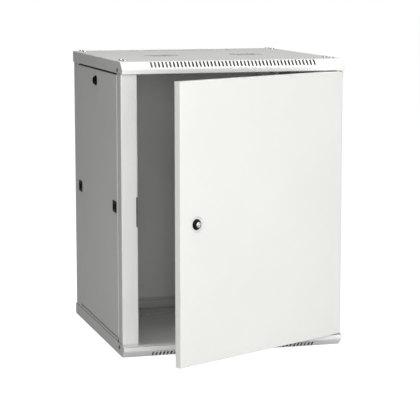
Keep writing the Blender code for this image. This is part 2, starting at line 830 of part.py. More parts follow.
def build_lock(prefix, sink, cam_depth, reach, up, face, materials):
    """All pieces of one lock; the nose sits on the sheet, the cam behind it."""
    return [
        lock_housing(f"{prefix}_housing", sink, materials["black_plastic"]),
        lock_nut(f"{prefix}_nut", SHEET + TOUCH, materials["zinc"]),
        lock_rotor(f"{prefix}_rotor", cam_depth - TOUCH, materials[face]),
        lock_cam(f"{prefix}_cam", cam_depth, reach, up, materials["zinc"]),
    ]


def build_side_lock(side, materials):
    """Lock near the top edge of a side panel; its cam hooks behind the frame rail."""
    cam_depth = PANEL_FACE - FRAME_RAIL_FACE + SHEET + CAM_GAP
    sink = cam_depth - 2 * CAM_GAP
    prefix = f"side_lock_{side_name(side)}"
    for piece in build_lock(prefix, sink, cam_depth, SIDE_CAM_REACH, True, "black_plastic", materials):
        piece.location = (side * PANEL_FACE, SIDE_LOCK_Y, SIDE_LOCK_Z)
        piece.rotation_euler = facing((side, 0, 0))


# Latches: local +Z points outward, local +Y is upright ------------------------
def build_latch(side, end, materials):
    """Slide latch: a bezel in the panel, and a slider whose tongue catches a post."""
    label = f"{side_name(side)}_{'front' if end < 0 else 'rear'}"
    plastic = materials["black_plastic"]
    towards_post = side * end
    plate = bmesh.new()
    add_prism(plate, rectangle(LATCH_FACE), "Z", TOUCH, LATCH_PROUD)
    round_rim(plate, lambda point: point.z > LATCH_PROUD - TOUCH, LATCH_PROUD / 2)
    bezel = finish(f"latch_{label}_bezel", plate, plastic)
    body = bmesh.new()
    add_prism(body, rectangle(LATCH_BODY), "Z", LATCH_PROUD / 2, -LATCH_BODY_DEPTH)
    fuse(bezel, body)
    window = bmesh.new()
    window_low = -LATCH_BODY_DEPTH - CUT_MARGIN
    add_prism(window, rectangle(LATCH_WINDOW), "Z", LATCH_PROUD + CUT_MARGIN, window_low)
    cut(bezel, window)
    slider = build_latch_slider(f"latch_{label}_slider", towards_post, plastic)
    centre = PANEL_FRONT + LATCH_INSET if end < 0 else PANEL_REAR - LATCH_INSET
    for piece in (bezel, slider):
        piece.location = (side * PANEL_FACE, centre, LATCH_Z)
        piece.rotation_euler = facing((side, 0, 0))


def build_latch_slider(name, towards_post, material):
    """Finger button, keeper plate behind the bezel, and the tongue."""
    centre = towards_post * ((LATCH_WINDOW[0] - LATCH_BUTTON[0]) / 2 - TOUCH)
    tongue_low = -(LANDING_INSET + PANEL_PROUD + SHEET + 2 * TOUCH + LATCH_TONGUE_THICK)
    shape = bmesh.new()
    add_prism(shape, rectangle(LATCH_BUTTON, (centre, 0.0)), "Z", LATCH_BUTTON_PROUD, tongue_low)
    slider = finish(name, shape, material)
    keeper = bmesh.new()
    keeper_face = -LATCH_BODY_DEPTH - TOUCH
    keeper_back = keeper_face - LATCH_KEEPER_THICK
    add_prism(keeper, rectangle(LATCH_KEEPER, (centre, 0.0)), "Z", keeper_face, keeper_back)
    fuse(slider, keeper)
    tip = towards_post * (LATCH_INSET - LANDING + LATCH_OVERLAP)
    tongue = bmesh.new()
    size = (abs(tip - centre), LATCH_TONGUE_HEIGHT)
    outline = rectangle(size, ((tip + centre) / 2, 0.0))
    add_prism(tongue, outline, "Z", tongue_low, tongue_low + LATCH_TONGUE_THICK)
    fuse(slider, tongue)
    return slider


# Side panels ----------------------------------------------------------------
def build_side_panel(side, material):
    """Tray between the posts, cut for its lock and its two latches."""
    face = side * PANEL_FACE
    y_low = PANEL_FRONT + PANEL_GAP
    y_high = PANEL_REAR - PANEL_GAP
    shape = bmesh.new()
    add_box(shape, (face, y_low, PANEL_LOW), (face - side * PANEL_FLANGE, y_high, PANEL_HIGH))
    round_rim(shape, lambda point: abs(point.x) > PANEL_FACE - TOUCH, PANEL_EDGE_RADIUS, ARC_STEPS)
    panel = finish(f"side_panel_{side_name(side)}", shape, material)
    hollow = bmesh.new()
    low = (face - side * SHEET, y_low + SHEET, PANEL_LOW + SHEET)
    high = (face - side * (PANEL_FLANGE + CUT_MARGIN), y_high - SHEET, PANEL_HIGH - SHEET)
    add_box(hollow, low, high)
    cut(panel, hollow)
    holes = bmesh.new()
    across = (face - side * CUT_MARGIN, face + side * CUT_MARGIN)
    add_prism(holes, circle(LOCK_HOLE_R, LOCK_SIDES, (SIDE_LOCK_Y, SIDE_LOCK_Z)), "X", *across)
    size = (LATCH_BODY[0] + 2 * TOUCH, LATCH_BODY[1] + 2 * TOUCH)
    for centre in (PANEL_FRONT + LATCH_INSET, PANEL_REAR - LATCH_INSET):
        add_prism(holes, rectangle(size, (centre, LATCH_Z)), "X", *across)
    cut(panel, holes)


# Door: x = y = 0 is the hinge axis, and its front face looks towards -Y --------
def build_door_panel(material):
    """Folded pan with return lips and a dished seat for the lock."""
    shape = bmesh.new()
    add_box(shape, (FREE_EDGE, DOOR_FACE, DOOR_LOW), (HINGE_EDGE, DOOR_BACK, DOOR_HIGH))
    round_rim(shape, lambda point: point.y < DOOR_FACE + TOUCH, DOOR_EDGE_RADIUS, ARC_STEPS)
    door = finish("door_panel", shape, material)
    hollow = bmesh.new()
    low = (FREE_EDGE + SHEET, DOOR_FACE + SHEET, DOOR_LOW + SHEET)
    add_box(hollow, low, (HINGE_EDGE - SHEET, DOOR_BACK - SHEET, DOOR_HIGH - SHEET))
    cut(door, hollow)
    mouth = bmesh.new()
    low = (FREE_EDGE + DOOR_LIP, DOOR_BACK - 2 * SHEET, DOOR_LOW + DOOR_LIP)
    add_box(mouth, low, (HINGE_EDGE - DOOR_LIP, DOOR_BACK + CUT_MARGIN, DOOR_HIGH - DOOR_LIP))
    cut(door, mouth)
    press_lock_seat(door)
    pins = bmesh.new()
    for z in (DOOR_LOW, DOOR_HIGH):
        add_prism(pins, circle(PIN_R + 2 * PIN_FIT, BORE_SIDES), "Z", z - CUT_MARGIN, z + CUT_MARGIN)
    cut(door, pins)
    return door


def press_lock_seat(door):
    """A round dish pressed into the skin, with the lock's hole in its floor."""
    inner_r = DISH_R - DISH_SLOPE
    bulge = [(0.0, -SHEET / 2), (DISH_R, -SHEET / 2)]
    bulge += [(inner_r + SHEET, -DISH_DEPTH - SHEET), (0.0, -DISH_DEPTH - SHEET)]
    hollow = [(0.0, CUT_MARGIN), (DISH_R, CUT_MARGIN), (DISH_R, 0.0)]
    hollow += [(inner_r, -DISH_DEPTH), (0.0, -DISH_DEPTH)]
    bore = [(0.0, CUT_MARGIN), (LOCK_HOLE_R, CUT_MARGIN)]
    bore += [(LOCK_HOLE_R, -2 * CUT_MARGIN), (0.0, -2 * CUT_MARGIN)]
    turn = facing((0, -1, 0)).to_matrix()
    steps = ((bulge, DISH_SIDES, fuse), (hollow, DISH_SIDES, cut), (bore, LOCK_SIDES, cut))
    for profile, sides, apply in steps:
        tool = bmesh.new()
        add_turned(tool, profile, sides)
        bmesh.ops.rotate(tool, verts=tool.verts[:], matrix=turn)
        bmesh.ops.translate(tool, verts=tool.verts[:], vec=(DOOR_LOCK_X, DOOR_FACE, DOOR_LOCK_Z))
        apply(door, tool)


def build_door_stiffener(material):
    """Hat channel down the middle of the door's inner side."""
    skin = DOOR_FACE + SHEET + TOUCH
    middle = HINGE_EDGE - DOOR_WIDTH / 2
    half = STIFFENER_WIDTH / 2
    line = [
        (middle - half - STIFFENER_FOOT, skin),
        (middle - half, skin),
        (middle - half, STIFFENER_CROWN),
        (middle + half, STIFFENER_CROWN),
        (middle + half, skin),
        (middle + half + STIFFENER_FOOT, skin),
    ]
    low = DOOR_LOW + STIFFENER_END
    return prism("door_stiffener", folded(line, SHEET), "Z", low, DOOR_HIGH - STIFFENER_END, material)


def build_door_lock(materials):
    """The door's lock, its nose on the dish's floor, its cam behind the post."""
    seat = DOOR_FACE + DISH_DEPTH
    cam_depth = POST_FRONT - HINGE_Y + SHEET + 2 * TOUCH - seat
    sink = cam_depth - 2 * CAM_GAP
    pieces = build_lock("door_lock", sink, cam_depth, DOOR_CAM_REACH, False, "chrome", materials)
    for piece in pieces:
        piece.location = (DOOR_LOCK_X, seat, DOOR_LOCK_Z)
        piece.rotation_euler = facing((0, -1, 0))
    return pieces


def build_hinge_guide(ceiling, material):
    """C-shaped bracket that guides the sprung top pin."""
    right = HINGE_EDGE - SHEET - TOUCH
    left = -GUIDE_REACH
    low = ceiling - GUIDE_HEIGHT
    outline = [
        (left, low),
        (right, low),
        (right, low + GUIDE_ARM),
        (left + GUIDE_SPINE, low + GUIDE_ARM),
        (left + GUIDE_SPINE, ceiling - GUIDE_ARM),
        (right, ceiling - GUIDE_ARM),
        (right, ceiling),
        (left, ceiling),
    ]
    half = DOOR_THICK / 2 - SHEET - TOUCH
    guide = prism("hinge_guide_top", outline, "Y", -half, half, material)
    bore = bmesh.new()
    add_prism(bore, circle(PIN_R + PIN_FIT, BORE_SIDES), "Z", low - CUT_MARGIN, ceiling + CUT_MARGIN)
    cut(guide, bore)
    return guide


def build_hinge_pin_top(ceiling, material):
    """Sprung pin: tip in the top cover's bush, collar in the guide, knob below."""
    tip = MOUTH_TOP + PIN_ENGAGED
    collar = ceiling - GUIDE_ARM - TOUCH
    knob = ceiling - GUIDE_HEIGHT - TOUCH
    profile = [
        (0.0, tip),
        (PIN_R - PIN_CHAMFER, tip),
        (PIN_R, tip - PIN_CHAMFER),
        (PIN_R, collar),
        (COLLAR_R, collar),
        (COLLAR_R, collar - COLLAR_THICK),
        (PIN_R, collar - COLLAR_THICK),
        (PIN_R, knob),
        (KNOB_R, knob),
        (KNOB_R, knob - KNOB_HEIGHT + PIN_CHAMFER),
        (KNOB_R - PIN_CHAMFER, knob - KNOB_HEIGHT),
        (0.0, knob - KNOB_HEIGHT),
    ]
    return turned("hinge_pin_top", profile, PIN_SIDES, material)


def build_hinge_socket(material):
    """Plastic block in the door's lower hinge corner that stands on the fixed pin."""
    floor = DOOR_LOW + SHEET + TOUCH
    depth = DOOR_THICK - 2 * SHEET - 2 * TOUCH
    outline = rectangle((2 * SOCKET_HALF, depth))
    socket = prism("hinge_socket_bottom", outline, "Z", floor, floor + SOCKET_HEIGHT, material)
    bore = bmesh.new()
    add_prism(bore, circle(PIN_R + PIN_FIT, BORE_SIDES), "Z", floor - CUT_MARGIN, floor + SOCKET_BORE)
    cut(socket, bore)
    return socket


def build_door(materials):
    """Everything that swings, under an empty on the hinge axis."""
    axis = bpy.data.objects.new("door_hinge_axis", None)
    bpy.context.scene.collection.objects.link(axis)
    axis.location = (HINGE_X, HINGE_Y, 0)
    axis.rotation_euler = (0, 0, math.radians(DOOR_OPEN_DEG))
    ceiling = DOOR_HIGH - SHEET - TOUCH
    pieces = [
        build_door_panel(materials["door_paint"]),
        build_door_stiffener(materials["door_paint"]),
        build_hinge_guide(ceiling, materials["black_plastic"]),
        build_hinge_pin_top(ceiling, materials["zinc"]),
        build_hinge_socket(materials["black_plastic"]),
    ]
    pieces += build_door_lock(materials)
    for piece in pieces:
        piece.parent = axis


def build_hinge_bush(material):
    """Bush in the top cover's lip, which the sprung pin turns in."""
    rim = MOUTH_TOP - TOUCH
    head = MOUTH_TOP + BUSH_HEIGHT
    bore = PIN_R + PIN_FIT
    profile = [(bore, rim - BUSH_RIM), (BUSH_RIM_R, rim - BUSH_RIM), (BUSH_RIM_R, rim)]
    profile += [(BUSH_R, rim), (BUSH_R, head), (bore, head)]
    bush = turned("hinge_bush_top", profile, BORE_SIDES, material)
    bush.location = (HINGE_X, HINGE_Y, 0)


def build_hinge_pin_bottom(material):
    """Fixed pin with its washer on the base cover's lip, which the door stands on."""
    washer = COVER_HEIGHT + TOUCH
    tip = DOOR_LOW + SHEET + TOUCH + SOCKET_BORE - 2 * CAM_GAP
    stem = COVER_HEIGHT - PIN_STEM
    profile = [
        (0.0, tip),
        (PIN_R - PIN_CHAMFER, tip),
        (PIN_R, tip - PIN_CHAMFER),
        (PIN_R, washer + WASHER_THICK),
        (WASHER_R, washer + WASHER_THICK),
        (WASHER_R, washer),
        (PIN_R, washer),
        (PIN_R, stem),
        (0.0, stem),
    ]
    pin = turned("hinge_pin_bottom", profile, PIN_SIDES, material)
    pin.location = (HINGE_X, HINGE_Y, 0)


def build_earth_stud(material):
    """Threaded earth stud with its nut, welded to the floor."""
    stud = turned("earth_stud", STUD_PROFILE, HOLE_SIDES, material)
    stud.location = (STUD_X, STUD_Y, SHEET + TOUCH)


def build_side(side, materials):
    """Posts, rails, panel, lock, latches and cover screws of one side."""
    label = side_name(side)
    paint, zinc = materials["grey_paint"], materials["zinc"]
    build_post(f"post_front_{label}", side, True, paint)
    build_post(f"post_rear_{label}", side, False, paint)
    build_frame_rail(f"frame_rail_top_{label}", side, top_rail_line(), paint)
    build_frame_rail(f"frame_rail_base_{label}", side, base_rail_line(), paint)
    for level, centre in zip(("lower", "upper"), DEPTH_RAIL_CENTRES):
        build_depth_rail(f"depth_rail_{level}_{label}", side, centre, zinc)
    build_rack_rail(f"rack_rail_front_{label}", side, True, zinc)
    build_rack_rail(f"rack_rail_rear_{label}", side, False, zinc)
    build_side_panel(side, paint)
    build_side_lock(side, materials)
    build_latch(side, -1, materials)
    build_latch(side, 1, materials)
    for index, y in enumerate(FRONT_SCREW_YS + REAR_SCREW_YS):
        build_cover_screw(f"cover_screw_{label}_{index + 1}", side * SCREW_X, y, zinc)


def build_cabinet():
    clear_scene()
    materials = make_materials()
    paint = materials["grey_paint"]
    build_cover("base_cover", False, paint)
    build_cover("top_cover", True, paint)
    build_cable_plate("base_cable_plate", False, paint)
    build_cable_plate("top_cable_plate", True, paint)
    build_rear_panel(paint)
    for side in (-1, 1):
        build_side(side, materials)
    build_hinge_bush(materials["brass"])
    build_hinge_pin_bottom(materials["zinc"])
    build_earth_stud(materials["brass"])
    build_door(materials)


build_cabinet()
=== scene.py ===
import json
import math

import bmesh
import bpy
from mathutils import Euler, Matrix, Vector

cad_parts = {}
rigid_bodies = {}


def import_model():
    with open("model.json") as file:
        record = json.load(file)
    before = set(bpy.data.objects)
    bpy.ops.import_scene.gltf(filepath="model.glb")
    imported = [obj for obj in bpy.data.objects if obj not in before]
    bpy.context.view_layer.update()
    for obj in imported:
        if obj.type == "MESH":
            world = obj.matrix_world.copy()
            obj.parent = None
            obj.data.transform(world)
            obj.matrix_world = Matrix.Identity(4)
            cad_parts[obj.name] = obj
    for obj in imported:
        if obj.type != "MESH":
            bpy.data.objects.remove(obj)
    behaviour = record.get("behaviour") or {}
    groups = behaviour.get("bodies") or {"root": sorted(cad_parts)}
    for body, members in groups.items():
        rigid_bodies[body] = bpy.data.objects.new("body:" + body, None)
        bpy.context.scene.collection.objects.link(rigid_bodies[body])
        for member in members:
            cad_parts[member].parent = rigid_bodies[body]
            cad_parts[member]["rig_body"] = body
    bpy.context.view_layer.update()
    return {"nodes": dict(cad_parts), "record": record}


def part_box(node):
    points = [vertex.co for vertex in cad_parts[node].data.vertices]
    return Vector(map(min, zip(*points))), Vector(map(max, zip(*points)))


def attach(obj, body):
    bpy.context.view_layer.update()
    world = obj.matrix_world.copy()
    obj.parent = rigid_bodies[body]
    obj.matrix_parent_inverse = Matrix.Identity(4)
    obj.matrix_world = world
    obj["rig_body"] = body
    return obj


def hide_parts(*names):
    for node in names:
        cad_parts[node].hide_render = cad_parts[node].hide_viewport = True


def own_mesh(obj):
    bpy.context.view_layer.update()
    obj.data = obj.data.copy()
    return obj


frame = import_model()
NODES = frame["nodes"]

# ------------------------------------------------- sizes and places, in metres
MM = 0.001
CABINET, DOOR = "cabinet", "door"
SIDES = (("left", -1), ("right", 1))
WELD = 0.01 * MM
SURFACE_GAP = 0.1 * MM

# Folded sheet: its thickness, cut edges and folds, and the height of each cover's open rim.
SHEET = 1.5 * MM
SHEET_EDGE = 0.35 * MM
FOLD_RADIUS = 1.3 * MM
FOLD_STEPS = 3
ROUND_PROFILE = 0.5
SHARP_FOLD = math.radians(60)
SOFT_STEPS = 2
SOFT_ANGLE = math.radians(40)
RIM_LEVEL = {"base_cover": 31 * MM, "top_cover": 739 * MM}

# Fascia vents: the half width that holds them, the least sideways slope of a slot's wall, how far back
# they reach, and where the shade on the floor behind them begins and ends.
VENT_HALF_WIDTH = 270 * MM
VENT_WALL_TILT = 0.3
FASCIA_REAR = -285 * MM
SHADE_STRIP_EDGES = (-256 * MM, -262 * MM)

# Black strips on the front posts' lock notches: dark pieces that stand in for the shade at the notch edge.
NOTCH_DEPTH = 4.5 * MM
NOTCH_CENTRE_Z = 381 * MM
NOTCH_HALF = 38.9 * MM
SHADE_STRIP_WIDTH = 2.4 * MM
SHADE_STRIP_DEPTH = 2.1 * MM
SHADE_STRIP_EDGE = 0.3 * MM

# Fasteners, each as radius, height and, for a screw, length.
COVER_SCREW = (6.2 * MM, 3.1 * MM, 9.0 * MM)
COVER_SCREW_LIFT = 0.3 * MM
FLANGE_SCREW = (5.2 * MM, 2.0 * MM, 1.2 * MM)
FLANGE_SCREW_Y = 50 * MM
FLANGE_SCREW_Z = 22 * MM
RAIL_BOLT = (5.0 * MM, 4.2 * MM)
RAIL_NUT = (5.0 * MM, 4.6 * MM)
RACK_LEG = 26 * MM
TAB_NUT_X = 286.5 * MM
EARTH_NUT_RADIUS = 4.6 * MM
EARTH_THREAD = (2.6 * MM, 3.0 * MM)
EARTH_PITCH = 0.8 * MM

# Locks: the lips, the foot and the face are outlines of (radius, height above the sheet) in millimetres.
NOSE_BORE = 7.4 * MM
NOSE_BARREL = 9.2 * MM
NOSE_LIP = [(7.4, 7.5), (7.55, 7.85), (7.9, 8.0), (8.3, 7.95), (8.6, 7.6)]
NOSE_FOOT = [(13.25, 2.0), (13.65, 1.5), (13.8, 1.0), (13.8, 0.2), (9.2, 0.2)]
ROTOR_RADIUS = 7.1 * MM
ROTOR_FACE = [(0.0, 8.35), (6.3, 8.35), (6.75, 8.2), (7.05, 7.8), (7.1, 7.3)]
KEY_SLOT = (0.75 * MM, 4.3 * MM)
KEY_MOUTH = (1.5 * MM, 5.0 * MM)
KEY_LEVELS = (4.2 * MM, 7.9 * MM, 8.6 * MM)
CAM_THICK = 2 * MM
CAM_SCREW = (4.0 * MM, 3.4 * MM)
BARREL_SHORTER = 1.7 * MM
DOOR_LOCK_X = -0.527
LOCK_SEAT = 7.0 * MM

# Latches: ridges across each finger button.
GRIP_OFFSET = 4.2 * MM
GRIP_RIDGES = 5
GRIP_PITCH = 3.0 * MM
GRIP_HEIGHT = 0.7 * MM
GRIP_FOOT = (0.55 * MM, 6.9 * MM)
GRIP_CREST = (0.25 * MM, 6.5 * MM)

# Door and its hinge, with the spring round the upper pin.
DOOR_ANGLE = math.radians(28.4)
DOOR_NORMAL = (math.sin(DOOR_ANGLE), -math.cos(DOOR_ANGLE), 0)
HINGE_AXIS = (0.288, -0.301)
GUIDE_ARM = 6 * MM
COLLAR_DROP = 3.3 * MM
SPRING_WIRE = 0.45 * MM
SPRING_RADIUS = 3.95 * MM
SPRING_TURNS = 7
SPRING_STEPS = 24

# Studio: softboxes are name, place, aim, size and power in watts; angles of the camera in degrees.
FLOOR_REACH = 30.0
FLOOR_GLOW = 0.09
FLOOR_SEEN = 1.0
ROOM_GLOW = 0.0
BACKDROP_GLOW = 1.0
AIM = (0, 0, 0.4)
LOCK_AIM = (-0.17, -0.56, 0.385)
SOFTBOXES = (
    ("front_high", (0.0, -5.5, 2.6), AIM, (3.5, 3.0), 13.0),
    ("front_low", (0.0, -5.5, 0.9), AIM, (3.0, 1.6), 34.0),
    ("front_lower", (0.0, -4.5, 0.3), AIM, (3.0, 0.5), 54.0),
    ("front_left", (-3.4, -4.6, 1.8), AIM, (2.5, 2.5), 89.0),
    ("front_right", (3.6, -4.4, 1.8), AIM, (2.5, 2.5), 72.0),
    ("right_low", (3.4, -1.75, 0.35), LOCK_AIM, (1.5, 0.7), 7.0),
    ("camera_side", (-1.3, -4.6, 1.4), AIM, (1.0, 1.0), 24.0),
    ("top", (0.0, -0.5, 4.0), AIM, (3.0, 3.0), 127.0),
)
CAMERA_PLACE = (-1.2685, -4.5146, 1.0093)
CAMERA_YAW, CAMERA_PITCH, CAMERA_ROLL = 15.9448, 8.1544, -0.0394
CAMERA_LENS = 145.453
CAMERA_SENSOR = 36.0
CAMERA_REACH = 100.0


# ---------------------------------------------------------------- materials
class Tree:
    """A small helper round one material's node tree."""

    def __init__(self, name):
        self.material = bpy.data.materials.new(name)
        self.material.use_nodes = True
        self.tree = self.material.node_tree
        self.shader = self.tree.nodes["Principled BSDF"]
        self.coords = self.tree.nodes.new("ShaderNodeTexCoord").outputs["Object"]

    def node(self, kind, inputs=(), **settings):
        made = self.tree.nodes.new(kind)
        for key, value in settings.items():
            setattr(made, key, value)
        for socket, value in dict(inputs).items():
            if isinstance(value, bpy.types.NodeSocket):
                self.tree.links.new(value, made.inputs[socket])
            else:
                made.inputs[socket].default_value = value
        return made

    def stretched(self, scale):
        return self.node("ShaderNodeMapping", {"Vector": self.coords, "Scale": scale}).outputs["Vector"]

    def noise(self, scale, detail=3.0, roughness=0.55, vector=None):
        inputs = {"Vector": vector or self.coords, "Scale": scale, "Detail": detail, "Roughness": roughness}
        return self.node("ShaderNodeTexNoise", inputs).outputs["Fac"]

    def ramp(self, value, low, high, out_low=0.0, out_high=1.0):
        inputs = {"Value": value, "From Min": low, "From Max": high, "To Min": out_low, "To Max": out_high}
        return self.node("ShaderNodeMapRange", inputs).outputs["Result"]

    def math(self, operation, a, b):
        return self.node("ShaderNodeMath", {0: a, 1: b}, operation=operation).outputs[0]

    def mix(self, factor, a, b):
        made = self.node("ShaderNodeMix", data_type="RGBA")
        for index, value in ((0, factor), (6, a), (7, b)):
            if isinstance(value, bpy.types.NodeSocket):
                self.tree.links.new(value, made.inputs[index])
            else:
                made.inputs[index].default_value = value
        return made.outputs[2]

    def edges(self, radius):
        """About 1 on edges that are sharper than a radius, 0 on flat faces."""
        bevel = self.node("ShaderNodeBevel", {"Radius": radius}, samples=4).outputs["Normal"]
        true = self.node("ShaderNodeNewGeometry").outputs["True Normal"]
        dot = self.node("ShaderNodeVectorMath", {0: bevel, 1: true}, operation="DOT_PRODUCT")
        return self.ramp(dot.outputs["Value"], 0.98, 0.75)

    def corners(self, distance, clear, shut):
        """About 1 in corners and gaps, 0 in the open."""
        ao = self.node("ShaderNodeAmbientOcclusion", {"Distance": distance}, samples=8).outputs["AO"]
        return self.ramp(ao, clear, shut)

    def bump(self, *layers):
        normal = None
        for height, distance, strength in layers:
            inputs = {"Height": height, "Distance": distance, "Strength": strength}
            if normal is not None:
                inputs["Normal"] = normal
            normal = self.node("ShaderNodeBump", inputs).outputs["Normal"]
        self.tree.links.new(normal, self.shader.inputs["Normal"])

    def set(self, **inputs):
        for name, value in inputs.items():
            socket = self.shader.inputs[name.replace("_", " ")]
            if isinstance(value, bpy.types.NodeSocket):
                self.tree.links.new(value, socket)
            else:
                socket.default_value = value
        return self.material


def rgb(red, green, blue):
    return (red, green, blue, 1.0)


def shade(colour, factor):
    return rgb(*(channel * factor for channel in colour[:3]))


def powder_coat(name, colour, roughness=0.42, shaded_strip=False):
    """Light grey powder coat: fine orange peel, faint cloudiness, paler edges from rubbed wear and painted
    highlight, dust and painted shade in the corners, deep painted shade in cavities.

    With shaded_strip set, the strip of floor plate that lies behind the base vents is also darkened:
    painted shade.
    """
    t = Tree(name)
    cloud = t.noise(3.5, 4.0)
    fleck = t.noise(1400.0, 2.0)
    base = t.mix(t.ramp(cloud, 0.3, 0.7), shade(colour, 0.975), shade(colour, 1.015))
    base = t.mix(t.ramp(fleck, 0.62, 0.72, 0.0, 0.10), base, shade(colour, 0.80))
    # Edges paler: partly rubbed wear, partly painted highlight where the edges catch light.
    wear_and_highlight = t.math("MULTIPLY", t.edges(0.7 * MM), t.ramp(t.noise(60.0, 5.0, 0.7), 0.35, 0.65, 0.2, 0.7))
    base = t.mix(wear_and_highlight, base, shade(colour, 1.14))
    # Corners darker and browner in patches: partly dust, partly painted shade.
    patch = t.ramp(t.noise(35.0, 4.0), 0.30, 0.70, 0.45, 0.75)
    dust_and_shade = t.math("MULTIPLY", t.corners(8 * MM, 0.90, 0.40), patch)
    base = t.mix(dust_and_shade, base, rgb(colour[0] * 0.45, colour[1] * 0.435, colour[2] * 0.41))
    # Deep cavities made much darker: painted shade.
    base = t.mix(t.corners(45 * MM, 0.50, 0.25), base, shade(colour, 0.22))
    # A strip of floor plate behind the base vents made dark: painted shade.
    if shaded_strip:
        place = t.node("ShaderNodeSeparateXYZ", {"Vector": t.coords}).outputs
        true = t.node("ShaderNodeNewGeometry").outputs["True Normal"]
        facing_up = t.node("ShaderNodeSeparateXYZ", {"Vector": true}).outputs["Z"]
        strip = t.math("MULTIPLY", t.ramp(place["Y"], *SHADE_STRIP_EDGES), t.ramp(place["Z"], 3 * MM, 2 * MM))
        base = t.mix(t.math("MULTIPLY", strip, t.ramp(facing_up, 0.8, 0.9)), base, shade(colour, 0.10))
    peel = t.noise(420.0, 2.0, 0.5)
    grain = t.noise(1800.0, 2.0, 0.6)
    t.bump((peel, 0.10 * MM, 0.22), (grain, 0.03 * MM, 0.30))
    rough = t.ramp(t.noise(22.0, 5.0, 0.6), 0.25, 0.75, roughness - 0.05, roughness + 0.07)
    return t.set(Base_Color=base, Roughness=rough, Specular_IOR_Level=0.45)


def zinc_plate(name):
    """Zinc-plated sheet: faint spangle, rolled streaks, dull edges."""
    t = Tree(name)
    spangle = t.node("ShaderNodeTexVoronoi", {"Vector": t.coords, "Scale": 150.0}).outputs["Color"]
    tone = t.node("ShaderNodeSeparateColor", {"Color": spangle}).outputs["Red"]
    base = t.mix(t.ramp(tone, 0.0, 1.0), rgb(0.47, 0.48, 0.50), rgb(0.60, 0.61, 0.62))
    stain = t.ramp(t.noise(14.0, 5.0, 0.65), 0.45, 0.75, 0.0, 0.5)
    base = t.mix(stain, base, rgb(0.42, 0.43, 0.43))
    base = t.mix(t.math("MULTIPLY", t.edges(0.5 * MM), 0.5), base, rgb(0.72, 0.73, 0.74))
    streak = t.noise(1.0, 4.0, 0.6, t.stretched((900.0, 900.0, 14.0)))
    t.bump((streak, 0.03 * MM, 0.25))
    rough = t.math("ADD", t.ramp(tone, 0.0, 1.0, 0.28, 0.40), t.ramp(streak, 0.3, 0.7, -0.03, 0.05))
    return t.set(Base_Color=base, Metallic=0.95, Roughness=rough)


def moulded_plastic(name, colour):
    """Moulded plastic: fine spark-eroded grain, paler edges from rubbed wear and painted highlight."""
    t = Tree(name)
    base = t.mix(t.ramp(t.noise(120.0, 4.0), 0.3, 0.7), shade(colour, 0.7), shade(colour, 1.5))
    # Edges paler: partly rubbed wear, partly painted highlight.
    rub_and_highlight = t.math("MULTIPLY", t.edges(0.4 * MM), t.ramp(t.noise(240.0, 4.0), 0.4, 0.65))
    base = t.mix(t.math("MULTIPLY", rub_and_highlight, 0.5), base, rgb(0.060, 0.060, 0.064))
    grain = t.noise(3200.0, 2.0, 0.6)
    t.bump((grain, 0.03 * MM, 0.30))
    rough = t.ramp(t.noise(160.0, 4.0), 0.3, 0.7, 0.26, 0.40)
    return t.set(Base_Color=base, Roughness=rough, Specular_IOR_Level=0.10)


def chrome_plate(name):
    """Satin plating with hairline turning marks, finger haze, and painted shade in its key slot and tight
    corners.
    """
    t = Tree(name)
    haze = t.noise(190.0, 4.0, 0.6)
    base = t.mix(t.ramp(haze, 0.35, 0.65), rgb(0.80, 0.80, 0.81), rgb(0.92, 0.92, 0.93))
    # Key slot and tight corners nearly black: painted shade.
    base = t.mix(t.corners(3 * MM, 0.75, 0.35), base, rgb(0.02, 0.02, 0.02))
    hair = t.noise(1.0, 3.0, 0.7, t.stretched((5000.0, 5000.0, 900.0)))
    t.bump((hair, 0.01 * MM, 0.25))
    rough = t.ramp(haze, 0.3, 0.7, 0.24, 0.36)
    return t.set(Base_Color=base, Metallic=1.0, Roughness=rough)


def plated_screw(name, colour):
    """Small plated fastener: streaky plating, worn high spots."""
    t = Tree(name)
    tone = t.noise(700.0, 3.0, 0.6)
    base = t.mix(t.ramp(tone, 0.3, 0.7), shade(colour, 0.78), shade(colour, 1.12))
    base = t.mix(t.math("MULTIPLY", t.edges(0.25 * MM), 0.5), base, shade(colour, 1.35))
    t.bump((t.noise(2600.0, 2.0), 0.02 * MM, 0.35))
    rough = t.ramp(tone, 0.3, 0.7, 0.22, 0.38)
    return t.set(Base_Color=base, Metallic=1.0, Roughness=rough)


GREY = (0.735, 0.742, 0.722)
PAINT = powder_coat("grey_powder_coat", GREY)
# The base cover's coat carries the strip of painted shade behind its vents.
BASE_PAINT = powder_coat("base_powder_coat", GREY, shaded_strip=True)
# Vent slot walls: the cabinet grey at 12%, painted shade.
SLOT_SHADE_PAINT = powder_coat("slot_shade_powder_coat", [channel * 0.12 for channel in GREY])
# The door's coat is the same grey made about 4 to 5% lighter: painted light for the door's brighter
# lighting.
DOOR_LIT_PAINT = powder_coat("door_lit_powder_coat", (0.774, 0.774, 0.751), 0.40)
ZINC = zinc_plate("zinc_plate")
PLASTIC = moulded_plastic("black_plastic", (0.0035, 0.0035, 0.0038))
CHROME = chrome_plate("lock_chrome")
SCREW = plated_screw("screw_zinc", (0.72, 0.73, 0.75))
DARK_SCREW = plated_screw("screw_black_zinc", (0.16, 0.16, 0.165))
BRASS = plated_screw("brass", (0.68, 0.50, 0.23))
SPRING = plated_screw("spring_steel", (0.42, 0.42, 0.44))
FINISHES = {
    "grey_paint": PAINT,
    "door_paint": DOOR_LIT_PAINT,
    "zinc": ZINC,
    "chrome": CHROME,
    "black_plastic": PLASTIC,
    "brass": BRASS,
}
SLOT_OF = {row["node"]: row["material_slot"] for row in frame["record"]["subparts"]}


